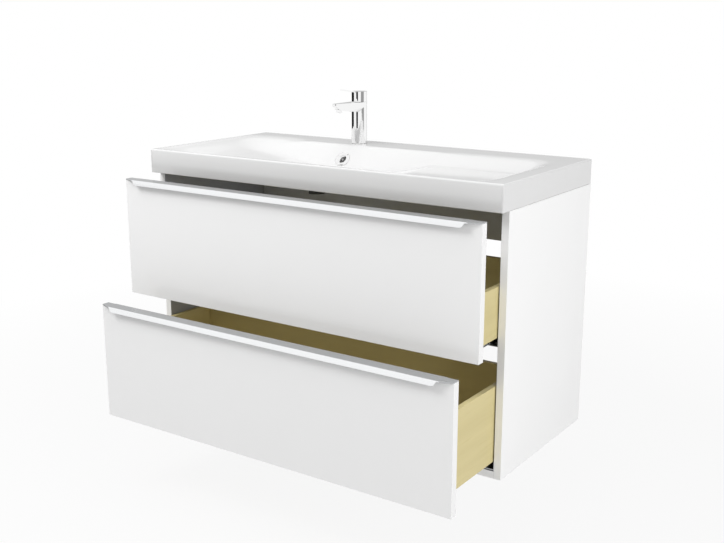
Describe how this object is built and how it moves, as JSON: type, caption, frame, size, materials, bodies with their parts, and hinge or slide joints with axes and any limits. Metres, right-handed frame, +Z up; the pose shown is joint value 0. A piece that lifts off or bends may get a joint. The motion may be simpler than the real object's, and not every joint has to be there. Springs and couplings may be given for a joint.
{
  "type": "floating vanity",
  "caption": "Wall-hung bathroom vanity: white cabinet with two handled drawers, an off-centre ceramic basin with a side shelf, and a single-lever chrome tap.",
  "frame": {"origin": "centre of the four wall screws, on the wall plane", "axes": "+X to the right as seen from the room, +Y into the wall, +Z up; the fronts face -Y"},
  "size_m": [1, 0.661, 0.805],
  "materials": {
    "white_board": "white foil on particle board",
    "grey_board": "dark grey foil on particle board",
    "beech": "plain beech",
    "zinc": "zinc plated",
    "white_plastic": "matt",
    "grey_plastic": "matt",
    "runner_steel": "galvanised sheet",
    "white_gloss": "gloss white lacquer on board",
    "handle_aluminium": "bright anodised",
    "drawer_wood": "light wood foil",
    "ceramic": "white glaze",
    "chrome": "polished",
    "rubber": "matt",
    "brass": "machined"
  },
  "bodies": {
    "cabinet": {"side_panel_left": "white_board", "side_panel_right": "white_board", "bottom_panel": "white_board", "rear_rail": "grey_board", "carcass_dowels": "beech", "cam_housings": "zinc", "cam_bolts": "zinc", "hanger_housings": "white_plastic", "hanger_hooks": "zinc", "hanger_screws": "zinc", "wall_plates": "zinc", "upper_cabinet_runners": "runner_steel", "lower_cabinet_runners": "runner_steel", "runner_screws": "zinc", "washbasin": "ceramic", "overflow_ring": "chrome", "waste_body": "chrome", "waste_seal": "rubber", "waste_nut": "grey_plastic", "tap_gasket": "rubber", "tap_body": "chrome", "tap_aerator": "chrome", "tap_cartridge": "white_plastic", "tap_cartridge_nut": "brass", "tap_stud": "zinc", "tap_clamp_plate": "zinc", "tap_stud_nut": "brass"},
    "spindle": {"tap_spindle": "chrome"},
    "lever": {"tap_lever": "chrome", "tap_lever_screw": "zinc"},
    "plug": {"waste_plug": "chrome"},
    "upper_drawer": {"upper_front": "white_gloss", "upper_handle": "handle_aluminium", "upper_handle_screws": "zinc", "upper_side_left": "drawer_wood", "upper_side_right": "drawer_wood", "upper_back_left": "drawer_wood", "upper_back_right": "drawer_wood", "upper_bottom": "drawer_wood", "trap_surround": "white_plastic", "upper_drawer_runners": "runner_steel", "upper_front_clips": "grey_plastic"},
    "upper_slides": {"upper_middle_runners": "runner_steel"},
    "lower_drawer": {"lower_front": "white_gloss", "lower_handle": "handle_aluminium", "lower_handle_screws": "zinc", "lower_side_left": "drawer_wood", "lower_side_right": "drawer_wood", "lower_back": "drawer_wood", "lower_bottom": "drawer_wood", "lower_drawer_runners": "runner_steel", "lower_front_clips": "grey_plastic"},
    "lower_slides": {"lower_middle_runners": "runner_steel"}
  },
  "joints": [
    {"name": "upper_drawer_slide", "type": "slide", "parent": "cabinet", "child": "upper_drawer", "axis": [0, -1, 0], "range_m": [-0.098, 0.232]},
    {"name": "lower_drawer_slide", "type": "slide", "parent": "cabinet", "child": "lower_drawer", "axis": [0, -1, 0], "range_m": [-0.198, 0.132]},
    {"name": "upper_middle_slide", "type": "slide", "parent": "cabinet", "child": "upper_slides", "axis": [0, -1, 0], "range_m": [-0.049, 0.116]},
    {"name": "lower_middle_slide", "type": "slide", "parent": "cabinet", "child": "lower_slides", "axis": [0, -1, 0], "range_m": [-0.099, 0.066]},
    {"name": "tap_swivel", "type": "hinge", "parent": "cabinet", "child": "spindle", "pos_m": [-0.129, -0.061, 0.2], "axis": [0, 0, 1], "range_deg": [-45, 45]},
    {"name": "tap_lever_lift", "type": "hinge", "parent": "spindle", "child": "lever", "pos_m": [-0.129, -0.052, 0.225], "axis": [-1, 0, 0], "range_deg": [0, 22]},
    {"name": "waste_plug_lift", "type": "slide", "parent": "cabinet", "child": "plug", "axis": [0, 0, 1], "range_m": [0, 0.008]}
  ],
  "couplings": [
    {"joint": "upper_middle_slide", "follows": "upper_drawer_slide", "ratio": 0.5},
    {"joint": "lower_middle_slide", "follows": "lower_drawer_slide", "ratio": 0.5}
  ]
}
